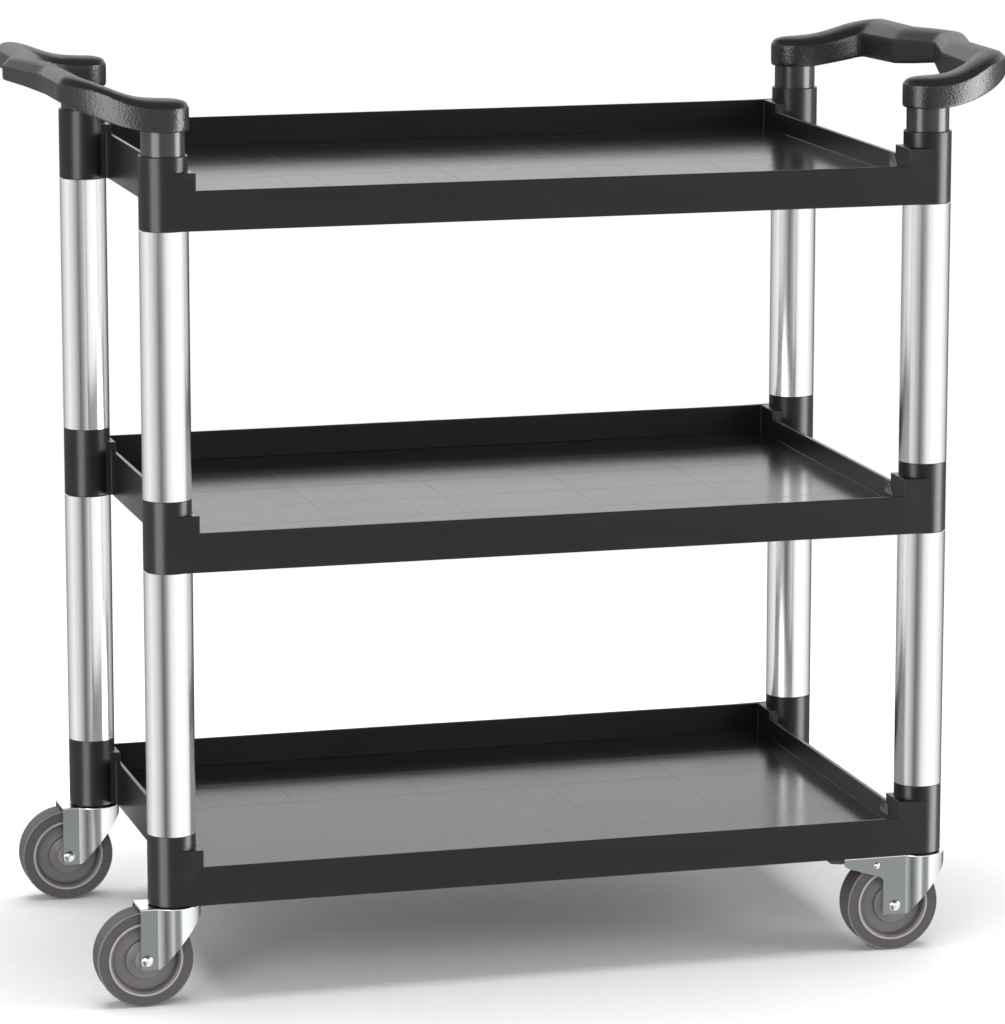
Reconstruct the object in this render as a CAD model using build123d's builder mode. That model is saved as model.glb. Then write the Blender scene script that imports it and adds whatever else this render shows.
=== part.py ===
"""Food service trolley: three moulded shelves on push-fit aluminium posts, a moulded handle at each
end and four swivel casters, two of them with a brake.

The origin is on the floor under the middle of the cart. +X runs along the cart towards the braked
casters, +Y towards the high rear rim, +Z up. All sizes are in millimetres.
"""

import os
from math import atan2, cos, radians, sin

from build123d import *

os.makedirs("parts", exist_ok=True)

# Driving dimensions of the frame
POST_X = 403.8
POST_Y = 215.7
TUBE_RADIUS = 25.0
TUBE_WALL = 2.0
SHELF_BOTTOM = 105.4
SHELF_PITCH = 346.75
SPIGOT_RADIUS = TUBE_RADIUS - TUBE_WALL - 0.1
SPIGOT_LENGTH = 40.0
SPIGOT_BORE = 18.0

# Moulded shelf, heights above its own underside
WALL = 4.1
DECK_TOP = 27.6
DECK_THICKNESS = 3.6
FRONT_LIP = 40.5
SIDE_RIM = 48.9
REAR_RIM = 58.2
COLLAR_HEIGHT = 73.4
TOP_COLLAR_HEIGHT = 74.4
RIM_Y = POST_Y + TUBE_RADIUS
RIM_INNER_X = 375.3
RIM_OUTER_X = 380.2
BLOCK_INNER_Y = 197.0
RIB_THICKNESS = 3.0
RIB_BOTTOM = 7.0
RIB_SPACING_X = 143.6
RIB_SPACING_Y = 95.0

# Handles and the short tubes that carry them
STUB_RADIUS = 22.2
STUB_WALL = 2.2
STUB_DEPTH = 55.0
CAP_RADIUS = 26.9
CAP_BOTTOM = 897.5
CAP_SOCKET_DEPTH = 21.0
SOCKET_CLEARANCE = 0.1
BEND_RADIUS = 9.0
ARM_START = 5.6
ARM_RADIUS = 102.0
ARM_SWEEP = 66.0
SHOULDER_IN = (POST_X + 60.8, 167.7)
KNEE_OUT = (POST_X + 99.8, 81.3)
KNEE_IN = (POST_X + 65.5, 74.0)
GRIP_OUT = (POST_X + 123.0, 0)
GRIP_IN = (POST_X + 84.7, 0)
CREST_RADIUS = 7.0

# Casters
TRAIL = 31.0
AXLE_HEIGHT = 50.0
WHEEL_RADIUS = 50.0
TYRE_HALF_WIDTH = 15.0
TYRE_SEAT_RADIUS = 39.0
HUB_HALF_WIDTH = 17.5
SHEET = 2.5
FORK_TOP = 104.5
FORK_BOTTOM = 40.5
CROWN_RADIUS = 29.0
LEG_OUTER_Y = 21.5
LEG_BACK = -37.2
BRAKED_LEG_BACK = -44.0
ARM_BACK = -88.0
ARM_FILLET = 5.0
LEG_FRONT = -18.0
NOSE_BOTTOM = 95.0
LEG_INNER_Y = LEG_OUTER_Y - SHEET
STEM_RADIUS = 5.5
STEM_TOP = 160.0
RIVET_RADIUS = 8.0
RIVET_HEIGHT = 3.0
RIVET_CLEARANCE = 0.3
BALL_RADIUS = 2.2
BALL_PITCH_RADIUS = 12.5
BALL_COUNT = 14
BALL_CENTRE_Z = FORK_TOP - 1.0 + BALL_RADIUS
RACE_RADIUS = 18.0
RACE_BOTTOM = 106.4
RACE_TOP = 111.0
AXLE_RADIUS = 4.0
AXLE_END = 5.0
HEAD_RADIUS = 6.4
DOME_HEIGHT = 2.8
NUT_THICKNESS = 4.2
BUSH_RADIUS = 6.0
RUNNING_CLEARANCE = 0.05

# Brake, measured back from the post axis
BRAKE_PIVOT_X = -51.6
BRAKE_PIVOT_Z = 95.0
BRAKE_PIN_RADIUS = 2.5
CHEEK_INNER_Y = 16.4
CHEEK_OUTER_Y = 18.4
CHEEK_RADIUS = 5.0
PIN_HEAD_RADIUS = 3.7
PIN_HEAD_HEIGHT = 1.8

LEVELS = {"bottom": 0, "middle": 1, "top": 2}
CORNERS = {
    "left_front": (-1, -1),
    "left_rear": (-1, 1),
    "right_front": (1, -1),
    "right_rear": (1, 1),
}


def save(part, name):
    """Label a finished piece and write its file."""
    part.label = name
    export_step(part, f"parts/{name}.step")


def shelf_base(level):
    """Height of a shelf's underside."""
    return SHELF_BOTTOM + SHELF_PITCH * LEVELS[level]


def shelf(level):
    """One moulded tray: deck, four rims, ribs underneath, corner blocks and post collars."""
    base = shelf_base(level)
    collar_height = TOP_COLLAR_HEIGHT if level == "top" else COLLAR_HEIGHT
    collar_top = base + collar_height
    rim_length = 2 * POST_X
    side_y = 2 * BLOCK_INNER_Y + 10
    with BuildPart() as tray:
        # Deck between the rims
        with BuildSketch(Plane.XY.offset(base + DECK_TOP - DECK_THICKNESS)):
            Rectangle(2 * RIM_INNER_X + WALL, 2 * RIM_Y - WALL)
        extrude(amount=DECK_THICKNESS)
        # Low front lip and high rear rim
        for rim_height, side in ((FRONT_LIP, -1), (REAR_RIM, 1)):
            with BuildSketch(Plane.XY.offset(base)):
                with Locations((0, side * (RIM_Y - WALL / 2))):
                    Rectangle(rim_length, WALL)
            extrude(amount=rim_height)
        # End rims, set in from the collars
        with BuildSketch(Plane.XY.offset(base)):
            with Locations(*[(s * (RIM_INNER_X + RIM_OUTER_X) / 2, 0) for s in (-1, 1)]):
                Rectangle(RIM_OUTER_X - RIM_INNER_X, side_y)
        extrude(amount=SIDE_RIM)
        # Stiffening ribs under the deck
        rib_height = DECK_TOP - DECK_THICKNESS - RIB_BOTTOM
        with BuildSketch(Plane.XY.offset(base + RIB_BOTTOM)):
            with GridLocations(RIB_SPACING_X, 1, 4, 1):
                Rectangle(RIB_THICKNESS, 2 * RIM_Y - WALL)
            with GridLocations(1, RIB_SPACING_Y, 1, 4):
                Rectangle(2 * RIM_INNER_X + WALL, RIB_THICKNESS)
        extrude(amount=rib_height)
        # Corner blocks that join the rims to the collars
        with BuildSketch(Plane.XY.offset(base)):
            block_y = (BLOCK_INNER_Y + RIM_Y) / 2
            with GridLocations(POST_X + RIM_INNER_X, 2 * block_y, 2, 2):
                Rectangle(POST_X - RIM_INNER_X, RIM_Y - BLOCK_INNER_Y)
        extrude(amount=REAR_RIM)
        # Collars and the spigots that plug into the tubes
        with BuildSketch(Plane.XY.offset(base)):
            with GridLocations(2 * POST_X, 2 * POST_Y, 2, 2):
                Circle(TUBE_RADIUS)
        extrude(amount=collar_height)
        if level != "top":
            with BuildSketch(Plane.XY.offset(collar_top)):
                with GridLocations(2 * POST_X, 2 * POST_Y, 2, 2):
                    Circle(SPIGOT_RADIUS)
            extrude(amount=SPIGOT_LENGTH)
        if level != "bottom":
            with BuildSketch(Plane.XY.offset(base)):
                with GridLocations(2 * POST_X, 2 * POST_Y, 2, 2):
                    Circle(SPIGOT_RADIUS)
            extrude(amount=-SPIGOT_LENGTH)
        # Bores: hollow collars, the caster sockets below and the handle sockets above
        bore_bottom = base + 62 if level == "bottom" else base - SPIGOT_LENGTH
        with BuildSketch(Plane.XY.offset(bore_bottom)):
            with GridLocations(2 * POST_X, 2 * POST_Y, 2, 2):
                Circle(SPIGOT_BORE)
        extrude(amount=collar_top + SPIGOT_LENGTH - bore_bottom, mode=Mode.SUBTRACT)
        if level == "bottom":
            with BuildSketch(Plane.XY.offset(base)):
                with GridLocations(2 * POST_X, 2 * POST_Y, 2, 2):
                    Circle(RACE_RADIUS + 0.3)
            extrude(amount=RACE_TOP - base, mode=Mode.SUBTRACT)
            with BuildSketch(Plane.XY.offset(RACE_TOP)):
                with GridLocations(2 * POST_X, 2 * POST_Y, 2, 2):
                    Circle(STEM_RADIUS)
            extrude(amount=bore_bottom - RACE_TOP, mode=Mode.SUBTRACT)
        if level == "top":
            with BuildSketch(Plane.XY.offset(collar_top - STUB_DEPTH)):
                with GridLocations(2 * POST_X, 2 * POST_Y, 2, 2):
                    Circle(STUB_RADIUS + SOCKET_CLEARANCE)
            extrude(amount=STUB_DEPTH, mode=Mode.SUBTRACT)
    return tray.part


def tube(corner, level):
    """A plain post tube between two collars."""
    side_x, side_y = CORNERS[corner]
    bottom = shelf_base(level) + COLLAR_HEIGHT
    length = SHELF_PITCH - COLLAR_HEIGHT
    with BuildPart() as post:
        with BuildSketch(Plane.XY.offset(bottom)):
            with Locations((side_x * POST_X, side_y * POST_Y)):
                Circle(TUBE_RADIUS)
                Circle(TUBE_RADIUS - TUBE_WALL, mode=Mode.SUBTRACT)
        extrude(amount=length)
    return post.part


def handle_stub(corner):
    """Short tube from the top collar's socket into the handle's cap."""
    side_x, side_y = CORNERS[corner]
    bottom = shelf_base("top") + TOP_COLLAR_HEIGHT - STUB_DEPTH
    with BuildPart() as stub:
        with BuildSketch(Plane.XY.offset(bottom)):
            with Locations((side_x * POST_X, side_y * POST_Y)):
                Circle(STUB_RADIUS)
                Circle(STUB_RADIUS - STUB_WALL, mode=Mode.SUBTRACT)
        extrude(amount=CAP_BOTTOM + CAP_SOCKET_DEPTH - bottom)
    return stub.part


def handle():
    """The right-hand handle: two caps, rising arms, straight shoulders and a shallow V grip."""
    arm_centre = (POST_X + ARM_START, POST_Y + CAP_RADIUS - ARM_RADIUS)
    sweep = radians(ARM_SWEEP)
    shoulder_outer = (arm_centre[0] + ARM_RADIUS * sin(sweep), arm_centre[1] + ARM_RADIUS * cos(sweep))
    arm_mid = (
        arm_centre[0] + ARM_RADIUS * sin(sweep / 2),
        arm_centre[1] + ARM_RADIUS * cos(sweep / 2),
    )
    cap_tip = (POST_X - CAP_RADIUS, POST_Y)
    cap_outer = (POST_X, POST_Y + CAP_RADIUS)
    cap_inner = (POST_X, POST_Y - CAP_RADIUS)
    with BuildPart() as grip:
        # Seen from above, one half of the outline and its mirror image
        with BuildSketch() as outline:
            with BuildLine():
                Line(GRIP_OUT, KNEE_OUT)
                Line(KNEE_OUT, shoulder_outer)
                ThreePointArc(shoulder_outer, arm_mid, (arm_centre[0], cap_outer[1]))
                Line((arm_centre[0], cap_outer[1]), cap_outer)
                ThreePointArc(cap_outer, cap_tip, cap_inner)
                Line(cap_inner, (arm_centre[0], cap_inner[1]))
                TangentArc((arm_centre[0], cap_inner[1]), SHOULDER_IN, tangent=(1, 0))
                Line(SHOULDER_IN, KNEE_IN)
                Line(KNEE_IN, GRIP_IN)
                mirror(about=Plane.XZ)
            make_face()
            bends = outline.vertices().filter_by(lambda v: v.X > POST_X + 50)
            fillet(bends, BEND_RADIUS)
        extrude(amount=1000)
        # Seen from the side, the underside and the crest rise from the cap to the grip
        with BuildSketch(Plane.XZ.offset(-300)):
            with BuildLine():
                Spline(
                    (370, CAP_BOTTOM),
                    (POST_X + 12, CAP_BOTTOM + 0.2),
                    (POST_X + 37, CAP_BOTTOM + 5.5),
                    (POST_X + 62, CAP_BOTTOM + 12.5),
                    (POST_X + 90, CAP_BOTTOM + 24.5),
                    (POST_X + 112, CAP_BOTTOM + 30.5),
                    (540, CAP_BOTTOM + 32.0),
                    tangents=((1, 0), (1, 0)),
                )
                Line((540, CAP_BOTTOM + 32.0), (540, 953.5))
                Spline(
                    (540, 953.5),
                    (POST_X + 100, 953.5),
                    (POST_X + 76, 950.0),
                    (POST_X + 56, 942.5),
                    (POST_X + 37, 934.5),
                    (POST_X + 14, 931.0),
                    (370, 930.5),
                    tangents=((-1, 0), (-1, 0)),
                )
                Line((370, 930.5), (370, CAP_BOTTOM))
            make_face()
        extrude(amount=600, mode=Mode.INTERSECT)
        # Sockets for the short tubes
        with BuildSketch(Plane.XY.offset(CAP_BOTTOM - 5)):
            with Locations((POST_X, POST_Y), (POST_X, -POST_Y)):
                Circle(STUB_RADIUS + SOCKET_CLEARANCE)
        extrude(amount=CAP_SOCKET_DEPTH + 5, mode=Mode.SUBTRACT)
        crest = grip.faces().filter_by(lambda f: f.normal_at().Z > 0.5 and f.center().Z > 925)
        fillet(crest.edges(), CREST_RADIUS)
    return grip.part


def caster_stem(corner):
    """Fixed stem pressed into the collar, riveted over below the fork's crown."""
    side_x, side_y = CORNERS[corner]
    x = side_x * POST_X
    y = side_y * POST_Y
    with BuildPart() as stem:
        with BuildSketch(Plane.XY.offset(FORK_TOP - SHEET - RIVET_CLEARANCE)):
            with Locations((x, y)):
                Circle(STEM_RADIUS)
        extrude(amount=STEM_TOP - FORK_TOP + SHEET + RIVET_CLEARANCE)
        with BuildSketch(Plane.XY.offset(FORK_TOP - SHEET - RIVET_CLEARANCE)):
            with Locations((x, y)):
                Circle(RIVET_RADIUS)
        extrude(amount=-RIVET_HEIGHT)
        chamfer(stem.edges().group_by(Axis.Z)[0], 1.2)
        chamfer(stem.edges().group_by(Axis.Z)[-1], 1.0)
    return stem.part


def upper_race(corner):
    """Hardened ring in the collar's counterbore, with a groove for the balls."""
    side_x, side_y = CORNERS[corner]
    x = side_x * POST_X
    y = side_y * POST_Y
    with BuildPart() as race:
        with BuildSketch(Plane.XY.offset(RACE_BOTTOM)):
            with Locations((x, y)):
                Circle(RACE_RADIUS)
                Circle(STEM_RADIUS, mode=Mode.SUBTRACT)
        extrude(amount=RACE_TOP - RACE_BOTTOM)
        with Locations((x, y, BALL_CENTRE_Z)):
            Torus(BALL_PITCH_RADIUS, BALL_RADIUS + 0.3, mode=Mode.SUBTRACT)
    return race.part


def bearing_balls(corner):
    """Ring of loose balls between the fork's crown and the upper race."""
    side_x, side_y = CORNERS[corner]
    with BuildPart() as balls:
        with Locations((side_x * POST_X, side_y * POST_Y, BALL_CENTRE_Z)):
            with PolarLocations(BALL_PITCH_RADIUS, BALL_COUNT):
                Sphere(BALL_RADIUS)
    return balls.part


def fork(corner):
    """Pressed fork: flat legs, a round nose around the swivel axis and a flat crown."""
    side_x, side_y = CORNERS[corner]
    x = side_x * POST_X
    y = side_y * POST_Y
    braked = side_x > 0
    leg_back = BRAKED_LEG_BACK if braked else LEG_BACK
    with BuildPart() as body:
        with BuildSketch(Plane.XY.offset(FORK_BOTTOM)):
            with Locations((x, y)):
                Circle(CROWN_RADIUS)
            with Locations((x + ARM_BACK / 2, y)):
                Rectangle(-ARM_BACK, 2 * LEG_OUTER_Y)
        extrude(amount=FORK_TOP - FORK_BOTTOM)
        fillet(body.edges().group_by(Axis.Z)[-1].filter_by(GeomType.CIRCLE), 1.2)
        with BuildSketch(Plane.XY.offset(FORK_BOTTOM)):
            with Locations((x, y)):
                Circle(CROWN_RADIUS - SHEET)
            with Locations((x + ARM_BACK / 2, y)):
                Rectangle(-ARM_BACK, 2 * LEG_INNER_Y)
        extrude(amount=FORK_TOP - FORK_BOTTOM - SHEET, mode=Mode.SUBTRACT)
        # Side outline: narrow leg, slanting nose, and arms that carry the brake
        with BuildSketch(Plane.XZ.offset(-y)) as outline_sketch:
            with BuildLine():
                if braked:
                    back = ((leg_back, 80.8), (-84.0, 93.9), (ARM_BACK, 97.4), (ARM_BACK, FORK_TOP))
                else:
                    back = ((leg_back, FORK_TOP),)
                outline = (
                    (leg_back, FORK_BOTTOM),
                    (LEG_FRONT, FORK_BOTTOM),
                    (CROWN_RADIUS, NOSE_BOTTOM),
                    (CROWN_RADIUS, FORK_TOP),
                    *reversed(back),
                )
                Polyline(*[(x + px, pz) for px, pz in outline], close=True)
            make_face()
            if braked:
                inside_corner = outline_sketch.vertices().sort_by_distance((x + leg_back, y, 80.8))[0]
                fillet(inside_corner, ARM_FILLET)
        extrude(amount=CROWN_RADIUS, both=True, mode=Mode.INTERSECT)
        # Open the crown between the brake arms
        if braked:
            with BuildSketch(Plane.XY.offset(FORK_TOP - SHEET)):
                with Locations((x + (ARM_BACK + leg_back) / 2, y)):
                    Rectangle(leg_back - ARM_BACK, 2 * LEG_INNER_Y)
            extrude(amount=SHEET, mode=Mode.SUBTRACT)
        # Swivel hole and ball groove in the crown
        with Locations((x, y, FORK_TOP)):
            Hole(STEM_RADIUS + RUNNING_CLEARANCE, depth=SHEET)
        with Locations((x, y, BALL_CENTRE_Z)):
            Torus(BALL_PITCH_RADIUS, BALL_RADIUS + 0.01, mode=Mode.SUBTRACT)
        # Holes for the axle and the brake pins
        with BuildSketch(Plane.XZ.offset(-y)):
            with Locations((x - TRAIL, AXLE_HEIGHT)):
                Circle(AXLE_RADIUS)
            if braked:
                with Locations((x + BRAKE_PIVOT_X, BRAKE_PIVOT_Z)):
                    Circle(BRAKE_PIN_RADIUS)
        extrude(amount=LEG_OUTER_Y + 1, both=True, mode=Mode.SUBTRACT)
    return body.part


def axle_bolt(corner):
    """Axle with a domed head on the front side."""
    side_x, side_y = CORNERS[corner]
    centre = (side_x * POST_X - TRAIL, side_y * POST_Y, AXLE_HEIGHT)
    rim = -LEG_OUTER_Y - 0.8
    dome_radius = (HEAD_RADIUS**2 + DOME_HEIGHT**2) / (2 * DOME_HEIGHT)
    half_angle = atan2(HEAD_RADIUS, dome_radius - DOME_HEIGHT) / 2
    dome_mid = (
        rim - DOME_HEIGHT + dome_radius * (1 - cos(half_angle)),
        dome_radius * sin(half_angle),
    )
    with BuildPart() as bolt:
        with BuildSketch(Plane(centre, x_dir=(0, 1, 0), z_dir=(1, 0, 0))):
            with BuildLine():
                Polyline(
                    (rim - DOME_HEIGHT, 0),
                    (LEG_OUTER_Y + AXLE_END, 0),
                    (LEG_OUTER_Y + AXLE_END, AXLE_RADIUS),
                    (-LEG_OUTER_Y, AXLE_RADIUS),
                    (-LEG_OUTER_Y, HEAD_RADIUS),
                    (rim, HEAD_RADIUS),
                )
                ThreePointArc((rim, HEAD_RADIUS), dome_mid, (rim - DOME_HEIGHT, 0))
            make_face()
        revolve(axis=Axis(centre, (0, 1, 0)))
    return bolt.part


def axle_nut(corner):
    """Hexagon nut on the rear side of the fork."""
    side_x, side_y = CORNERS[corner]
    x = side_x * POST_X - TRAIL
    y = side_y * POST_Y
    with BuildPart() as nut:
        with BuildSketch(Plane.XZ.offset(-y - LEG_OUTER_Y)):
            with Locations((x, AXLE_HEIGHT)):
                RegularPolygon(7.4, 6)
                Circle(AXLE_RADIUS, mode=Mode.SUBTRACT)
        extrude(amount=-NUT_THICKNESS)
        chamfer(nut.faces().sort_by(Axis.Y)[-1].outer_wire().edges(), 0.8)
    return nut.part


def axle_bush(corner):
    """Spacer tube clamped between the legs, on which the wheel turns."""
    side_x, side_y = CORNERS[corner]
    with BuildPart() as bush:
        with BuildSketch(Plane.XZ.offset(-side_y * POST_Y)):
            with Locations((side_x * POST_X - TRAIL, AXLE_HEIGHT)):
                Circle(BUSH_RADIUS)
                Circle(AXLE_RADIUS, mode=Mode.SUBTRACT)
        extrude(amount=LEG_INNER_Y, both=True)
    return bush.part


def wheel_core(corner):
    """Moulded wheel centre: hub, dished web and the raised ring that seats the tyre."""
    side_x, side_y = CORNERS[corner]
    centre = (side_x * POST_X - TRAIL, side_y * POST_Y, AXLE_HEIGHT)
    half = (
        (0, BUSH_RADIUS + RUNNING_CLEARANCE),
        (HUB_HALF_WIDTH, BUSH_RADIUS + RUNNING_CLEARANCE),
        (HUB_HALF_WIDTH, 12.0),
        (14.2, 13.0),
        (13.0, 20.0),
        (9.0, 21.0),
        (7.0, 32.0),
        (13.8, 34.6),
        (TYRE_HALF_WIDTH + 0.5, 36.0),
        (TYRE_HALF_WIDTH + 0.5, TYRE_SEAT_RADIUS),
        (0, TYRE_SEAT_RADIUS),
    )
    with BuildPart() as core:
        with BuildSketch(Plane(centre, x_dir=(0, 1, 0), z_dir=(1, 0, 0))):
            with BuildLine():
                Polyline(*half, close=True)
            make_face()
            mirror(about=Plane.YZ)
        revolve(axis=Axis(centre, (0, 1, 0)))
    return core.part


def tyre(corner):
    """Grey rubber tread moulded onto the wheel centre."""
    side_x, side_y = CORNERS[corner]
    centre = (side_x * POST_X - TRAIL, side_y * POST_Y, AXLE_HEIGHT)
    with BuildPart() as tread:
        with BuildSketch(Plane(centre, x_dir=(0, 1, 0), z_dir=(1, 0, 0))):
            with BuildLine():
                Polyline(
                    (0, TYRE_SEAT_RADIUS),
                    (TYRE_HALF_WIDTH, TYRE_SEAT_RADIUS),
                    (TYRE_HALF_WIDTH, WHEEL_RADIUS - 2.0),
                )
                RadiusArc(
                    (TYRE_HALF_WIDTH, WHEEL_RADIUS - 2.0), (TYRE_HALF_WIDTH - 2.0, WHEEL_RADIUS), -2.0
                )
                Polyline((TYRE_HALF_WIDTH - 2.0, WHEEL_RADIUS), (0, WHEEL_RADIUS), (0, TYRE_SEAT_RADIUS))
            make_face()
            mirror(about=Plane.YZ)
        revolve(axis=Axis(centre, (0, 1, 0)))
    return tread.part


def brake_pins(corner):
    """Two short rivets through the fork's arms, one on each side of the wheel."""
    side_x, side_y = CORNERS[corner]
    x = side_x * POST_X + BRAKE_PIVOT_X
    y = side_y * POST_Y
    with BuildPart() as pins:
        for side in (-1, 1):
            with BuildSketch(Plane.XZ.offset(-y - side * CHEEK_INNER_Y)):
                with Locations((x, BRAKE_PIVOT_Z)):
                    Circle(BRAKE_PIN_RADIUS)
            extrude(amount=-side * (LEG_OUTER_Y - CHEEK_INNER_Y))
            with BuildSketch(Plane.XZ.offset(-y - side * LEG_OUTER_Y)):
                with Locations((x, BRAKE_PIVOT_Z)):
                    Circle(PIN_HEAD_RADIUS)
            extrude(amount=-side * PIN_HEAD_HEIGHT, taper=25)
    return pins.part


def brake_pedal(corner):
    """Foot lever: cheeks beside the wheel, a pad above the tread and a tab behind the arms."""
    side_x, side_y = CORNERS[corner]
    x = side_x * POST_X
    y = side_y * POST_Y
    plate_bottom = 100.6
    plate_top = 103.4
    with BuildPart() as pedal:
        # Plate and bent tab, drawn from the side
        with BuildSketch(Plane.XZ.offset(-y)):
            with BuildLine():
                Polyline(
                    (x - 46.5, plate_bottom),
                    (x - 46.5, plate_top),
                    (x - 90.0, plate_top),
                    (x - 106.5, plate_top + 0.6),
                    (x - 102.0, plate_bottom - 1.0),
                    (x - 90.0, plate_bottom - 2.4),
                    (x - 84.0, plate_bottom),
                    close=True,
                )
            make_face()
        extrude(amount=CHEEK_OUTER_Y, both=True)
        # Pad, hollowed to the wheel
        with BuildSketch(Plane.XZ.offset(-y)):
            with Locations((x - 65.0, plate_bottom - 6.0)):
                Rectangle(14.0, 12.4)
            with Locations((x - TRAIL, AXLE_HEIGHT)):
                Circle(WHEEL_RADIUS + 3.0, mode=Mode.SUBTRACT)
        extrude(amount=12.0, both=True)
        # Cheeks with the pivot holes
        for side in (-1, 1):
            with BuildSketch(Plane.XZ.offset(-y - side * CHEEK_INNER_Y)):
                with Locations((x + BRAKE_PIVOT_X, (BRAKE_PIVOT_Z + plate_bottom) / 2)):
                    Rectangle(2 * CHEEK_RADIUS, plate_bottom - BRAKE_PIVOT_Z + 0.2)
                with Locations((x + BRAKE_PIVOT_X, BRAKE_PIVOT_Z)):
                    Circle(CHEEK_RADIUS)
                    Circle(BRAKE_PIN_RADIUS + RUNNING_CLEARANCE, mode=Mode.SUBTRACT)
            extrude(amount=-side * (CHEEK_OUTER_Y - CHEEK_INNER_Y))
    return pedal.part


for level_name in LEVELS:
    save(shelf(level_name), f"{level_name}_shelf")

for corner_name in CORNERS:
    save(tube(corner_name, "bottom"), f"lower_tube_{corner_name}")
    save(tube(corner_name, "middle"), f"upper_tube_{corner_name}")
    save(handle_stub(corner_name), f"handle_tube_{corner_name}")

right_handle = handle()
save(right_handle, "right_handle")
save(mirror(right_handle, about=Plane.YZ), "left_handle")

for corner_name in CORNERS:
    save(caster_stem(corner_name), f"{corner_name}_stem")
    save(upper_race(corner_name), f"{corner_name}_upper_race")
    save(bearing_balls(corner_name), f"{corner_name}_bearing_balls")
    save(fork(corner_name), f"{corner_name}_fork")
    save(axle_bolt(corner_name), f"{corner_name}_axle")
    save(axle_nut(corner_name), f"{corner_name}_axle_nut")
    save(axle_bush(corner_name), f"{corner_name}_axle_bush")
    save(wheel_core(corner_name), f"{corner_name}_wheel_core")
    save(tyre(corner_name), f"{corner_name}_tyre")
    if corner_name.startswith("right"):
        save(brake_pins(corner_name), f"{corner_name}_brake_pins")
        save(brake_pedal(corner_name), f"{corner_name}_brake_pedal")
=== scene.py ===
import math

import bmesh
import bpy
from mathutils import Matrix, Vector


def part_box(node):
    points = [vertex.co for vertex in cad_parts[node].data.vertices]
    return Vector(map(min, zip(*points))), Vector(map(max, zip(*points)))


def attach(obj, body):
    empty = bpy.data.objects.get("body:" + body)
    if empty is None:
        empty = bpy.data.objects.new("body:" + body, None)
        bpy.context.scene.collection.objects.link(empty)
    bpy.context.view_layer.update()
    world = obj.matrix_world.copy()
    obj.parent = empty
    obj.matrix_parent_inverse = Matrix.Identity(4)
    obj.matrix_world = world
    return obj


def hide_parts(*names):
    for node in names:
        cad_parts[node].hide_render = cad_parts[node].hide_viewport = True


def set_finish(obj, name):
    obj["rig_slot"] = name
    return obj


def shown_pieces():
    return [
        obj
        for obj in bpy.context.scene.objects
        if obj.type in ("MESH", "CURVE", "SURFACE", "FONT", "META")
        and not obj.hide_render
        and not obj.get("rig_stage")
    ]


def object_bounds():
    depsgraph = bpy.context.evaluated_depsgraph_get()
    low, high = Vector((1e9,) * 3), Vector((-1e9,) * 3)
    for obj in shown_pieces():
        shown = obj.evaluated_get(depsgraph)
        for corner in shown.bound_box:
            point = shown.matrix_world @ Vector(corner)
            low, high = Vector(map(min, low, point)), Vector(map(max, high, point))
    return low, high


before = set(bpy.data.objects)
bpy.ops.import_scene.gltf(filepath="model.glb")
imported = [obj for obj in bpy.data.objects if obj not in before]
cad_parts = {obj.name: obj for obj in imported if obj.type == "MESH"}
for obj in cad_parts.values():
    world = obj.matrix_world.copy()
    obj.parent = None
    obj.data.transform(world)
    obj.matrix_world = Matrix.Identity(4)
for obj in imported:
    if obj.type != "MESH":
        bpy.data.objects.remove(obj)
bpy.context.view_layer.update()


# The camera stands to the left in front of the trolley, above its handles, and looks a little
# down with a long lens, so the posts stay nearly parallel.
camera_data = bpy.data.cameras.new("camera")
camera_data.lens = 178.4
camera_data.sensor_width = 36.0
camera_data.clip_end = 60.0
camera = bpy.data.objects.new("camera", camera_data)
bpy.context.scene.collection.objects.link(camera)
look_down, look_right = 10.99, 15.384
camera.location = (-1.4104, -5.1485, 1.4871)
camera.rotation_euler = (math.radians(90 - look_down), 0, math.radians(-look_right))
bpy.context.scene.camera = camera
bpy.context.scene.view_settings.view_transform = "Standard"


# Pale studio floor: a round sheet of matt paper that fades out towards its rim.
def add(tree, kind, **sockets):
    """Add a node and fill its sockets by name."""
    node = tree.nodes.new(kind)
    for name, value in sockets.items():
        node.inputs[name.replace("_", " ")].default_value = value
    return node


def join(tree, output, socket):
    tree.links.new(output, socket)


def ranged(tree, value, low, high, to_low=0.0, to_high=1.0, smooth=False):
    """Carry a value from one range to another, with an S-shaped ramp if smooth."""
    node = tree.nodes.new("ShaderNodeMapRange")
    if smooth:
        node.interpolation_type = "SMOOTHSTEP"
    for label, number in (("From Min", low), ("From Max", high), ("To Min", to_low), ("To Max", to_high)):
        node.inputs[label].default_value = number
    join(tree, value, node.inputs["Value"])
    return node.outputs["Result"]


floor_radius = 2.6
floor_mesh = bpy.data.meshes.new("studio_floor")
paper = bmesh.new()
bmesh.ops.create_circle(paper, cap_ends=True, segments=96, radius=floor_radius)
paper.to_mesh(floor_mesh)
paper.free()
floor = bpy.data.objects.new("studio_floor", floor_mesh)
bpy.context.scene.collection.objects.link(floor)
floor_finish = bpy.data.materials.new("floor_paper")
floor_finish.use_nodes = True
tree = floor_finish.node_tree
shader = tree.nodes["Principled BSDF"]
shader.inputs["Roughness"].default_value = 0.9
shader.inputs["Specular IOR Level"].default_value = 0.1
place = add(tree, "ShaderNodeTexCoord")
fibre = add(tree, "ShaderNodeTexNoise", Scale=60.0, Detail=4.0)
join(tree, place.outputs["Object"], fibre.inputs["Vector"])
tone = add(tree, "ShaderNodeValToRGB")
tone.color_ramp.elements[0].color = (0.86, 0.86, 0.86, 1)
tone.color_ramp.elements[1].color = (0.92, 0.92, 0.92, 1)
join(tree, fibre.outputs["Fac"], tone.inputs["Fac"])
join(tree, tone.outputs["Color"], shader.inputs["Base Color"])
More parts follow.
